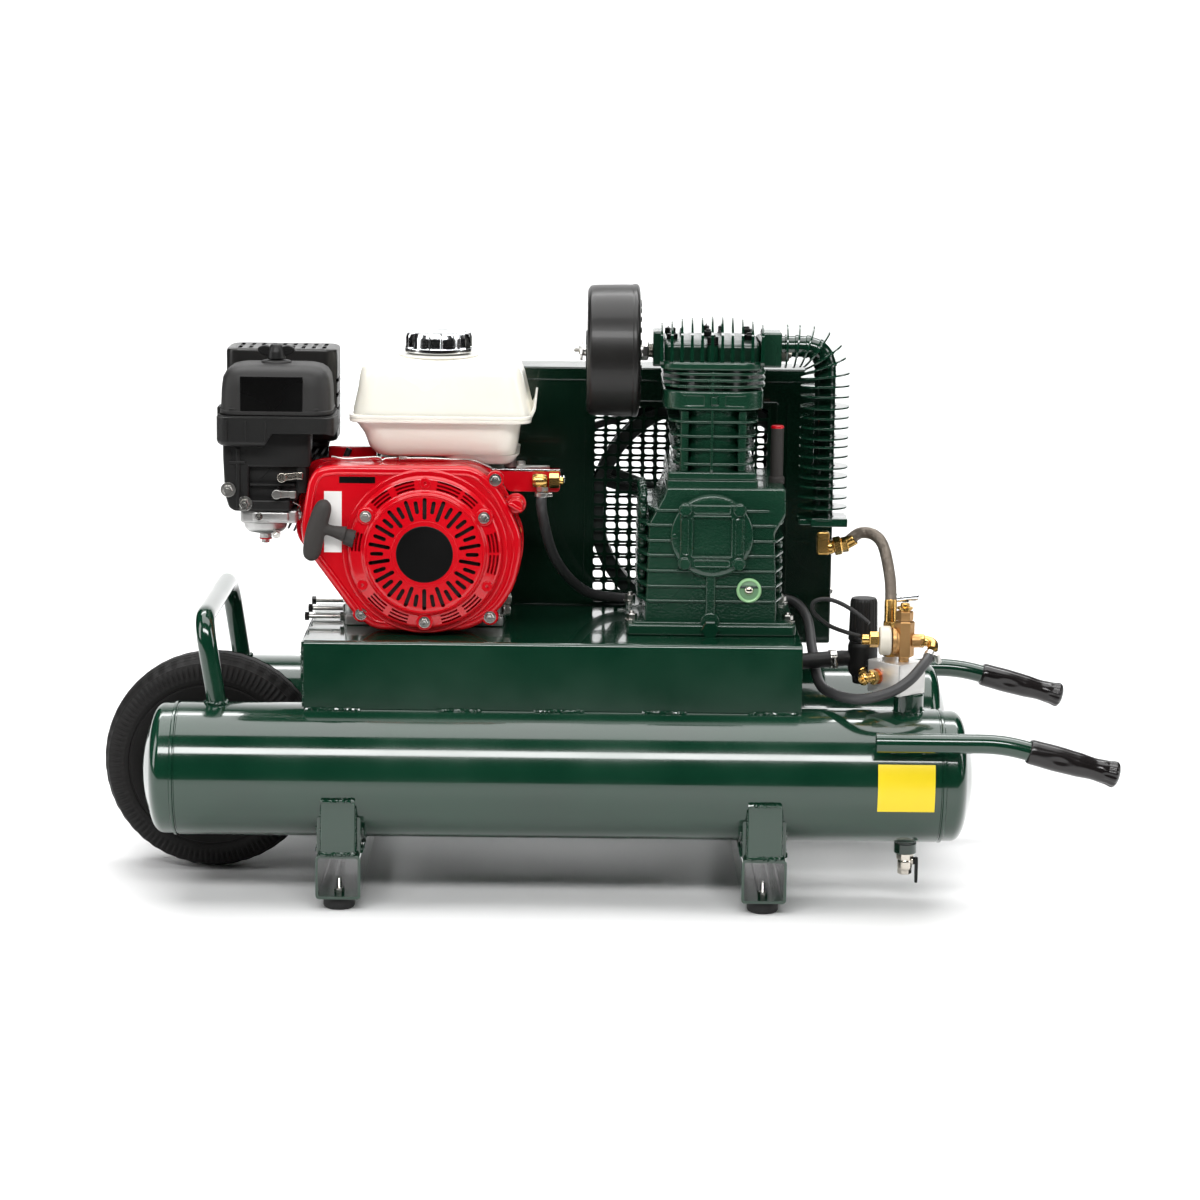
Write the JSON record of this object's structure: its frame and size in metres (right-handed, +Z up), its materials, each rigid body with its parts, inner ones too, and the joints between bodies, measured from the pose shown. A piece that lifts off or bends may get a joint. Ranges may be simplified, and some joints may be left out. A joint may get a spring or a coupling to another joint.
{
  "type": "air compressor",
  "caption": "Wheelbarrow air compressor: petrol engine and belt-driven pump on a deck over twin horizontal air tanks, with one wheel and two handles.",
  "frame": {"origin": "on the ground, below the middle of the overall box", "axes": "+X from the wheel to the handles, -Y the recoil starter's side, +Z up"},
  "size_m": [1.1677, 0.4858, 0.696],
  "materials": {
    "green_paint": "gloss",
    "red_paint": "gloss",
    "black_plastic": "matte",
    "grip_plastic": "gloss",
    "rubber": "matte",
    "tyre": "matte",
    "steel": "satin",
    "black_steel": "satin",
    "iron": "painted",
    "cast_green": "painted gloss",
    "alloy": "cast",
    "brass": "satin",
    "chrome": "polished",
    "cream_plastic": "gloss"
  },
  "bodies": {
    "frame": {"front_tank": "green_paint", "rear_tank": "green_paint", "front_handle_tube": "green_paint", "rear_handle_tube": "green_paint", "front_grip": "grip_plastic", "rear_grip": "grip_plastic", "wheel_end_foot_beam": "green_paint", "handle_end_foot_beam": "green_paint", "wheel_end_front_rubber_foot": "rubber", "wheel_end_rear_rubber_foot": "rubber", "handle_end_front_rubber_foot": "rubber", "handle_end_rear_rubber_foot": "rubber", "engine_deck": "green_paint", "lifting_loop": "green_paint", "wheel_axle": "steel", "engine_block": "alloy", "blower_housing": "red_paint", "recoil_cover": "red_paint", "fuel_tank": "cream_plastic", "air_cleaner_base": "black_plastic", "air_cleaner_cover": "black_plastic", "carburettor": "alloy", "muffler": "black_steel", "control_bracket": "red_paint", "pump_crankcase": "cast_green", "pump_bearing_cover": "cast_green", "pump_cylinder_block": "cast_green", "pump_front_piston": "alloy", "pump_rear_piston": "alloy", "pump_head": "cast_green", "intake_filter": "black_steel", "drive_belt": "rubber", "belt_guard": "green_paint", "aftercooler": "green_paint", "discharge_hose": "steel", "manifold_block": "alloy", "regulator_body": "black_plastic", "pilot_valve": "brass", "supply_hose": "rubber", "unloader_hose": "rubber", "drain_valve": "chrome"},
    "wheel": {"wheel_tyre": "tyre", "wheel_rim": "black_steel"},
    "engine_rotor": {"engine_crankshaft": "steel", "engine_fan": "alloy", "drive_pulley": "iron"},
    "pump_rotor": {"pump_crankshaft": "steel", "pump_flywheel": "iron"},
    "recoil_pull": {"recoil_handle": "black_plastic"},
    "fuel_filler_cap": {"fuel_cap": "chrome"},
    "cleaner_knob": {"air_cleaner_knob": "black_plastic"},
    "filter_nut": {"intake_wing_nut": "steel"},
    "choke": {"choke_lever": "steel"},
    "fuel_valve": {"fuel_valve_lever": "black_plastic"},
    "throttle": {"throttle_lever": "steel"},
    "governor": {"governor_arm": "steel"},
    "stop_switch": {"stop_switch_knob": "red_paint"},
    "regulator_adjuster": {"regulator_knob": "black_plastic"},
    "unloader_toggle": {"toggle_lever": "chrome"},
    "drain": {"drain_lever": "black_plastic"}
  },
  "joints": [
    {"name": "wheel_spin", "type": "hinge", "parent": "frame", "child": "wheel", "pos_m": [-0.456, 0, 0.128], "axis": [0, 1, 0], "continuous": true},
    {"name": "pump_spin", "type": "hinge", "parent": "frame", "child": "pump_rotor", "pos_m": [0.126, 0, 0.414], "axis": [0, 1, 0], "continuous": true},
    {"name": "engine_spin", "type": "hinge", "parent": "frame", "child": "engine_rotor", "pos_m": [-0.201, 0, 0.398], "axis": [0, 1, 0], "continuous": true},
    {"name": "recoil_slide", "type": "slide", "parent": "frame", "child": "recoil_pull", "axis": [-0.97, 0, 0.243], "range_m": [0, 0.45], "stiffness_N_per_m": 20},
    {"name": "fuel_cap_turn", "type": "hinge", "parent": "frame", "child": "fuel_filler_cap", "pos_m": [-0.191, -0.02, 0.62], "axis": [0, 0, 1], "range_deg": [0, 90]},
    {"name": "cleaner_knob_turn", "type": "hinge", "parent": "frame", "child": "cleaner_knob", "pos_m": [-0.375, -0.064, 0.61], "axis": [0, 0, 1], "range_deg": [0, 360]},
    {"name": "filter_nut_turn", "type": "hinge", "parent": "frame", "child": "filter_nut", "pos_m": [-0.025, -0.012, 0.619], "axis": [1, 0, 0], "range_deg": [0, 360]},
    {"name": "choke_swing", "type": "hinge", "parent": "frame", "child": "choke", "pos_m": [-0.366, -0.1, 0.477], "axis": [0, 1, 0], "range_deg": [-35, 0]},
    {"name": "fuel_valve_swing", "type": "hinge", "parent": "frame", "child": "fuel_valve", "pos_m": [-0.372, -0.1, 0.458], "axis": [0, 1, 0], "range_deg": [0, 35]},
    {"name": "throttle_swing", "type": "hinge", "parent": "frame", "child": "throttle", "pos_m": [-0.094, -0.046, 0.486], "axis": [0, 0, 1], "range_deg": [0, 30]},
    {"name": "governor_swing", "type": "hinge", "parent": "frame", "child": "governor", "pos_m": [-0.236, -0.04, 0.49], "axis": [0, 0, 1], "range_deg": [-6, 1]},
    {"name": "stop_switch_turn", "type": "hinge", "parent": "frame", "child": "stop_switch", "pos_m": [-0.099, -0.11, 0.45], "axis": [0, 1, 0], "range_deg": [0, 45]},
    {"name": "regulator_turn", "type": "hinge", "parent": "frame", "child": "regulator_adjuster", "pos_m": [0.306, -0.058, 0.3], "axis": [0, 0, 1], "range_deg": [0, 720]},
    {"name": "toggle_flip", "type": "hinge", "parent": "frame", "child": "unloader_toggle", "pos_m": [0.345, -0.148, 0.353], "axis": [0, 1, 0], "range_deg": [-90, 0]},
    {"name": "drain_turn", "type": "hinge", "parent": "frame", "child": "drain", "pos_m": [0.365, -0.145, 0.047], "axis": [1, 0, 0], "range_deg": [0, 90]}
  ],
  "couplings": [
    {"joint": "engine_spin", "follows": "pump_spin", "ratio": 2.856}
  ]
}
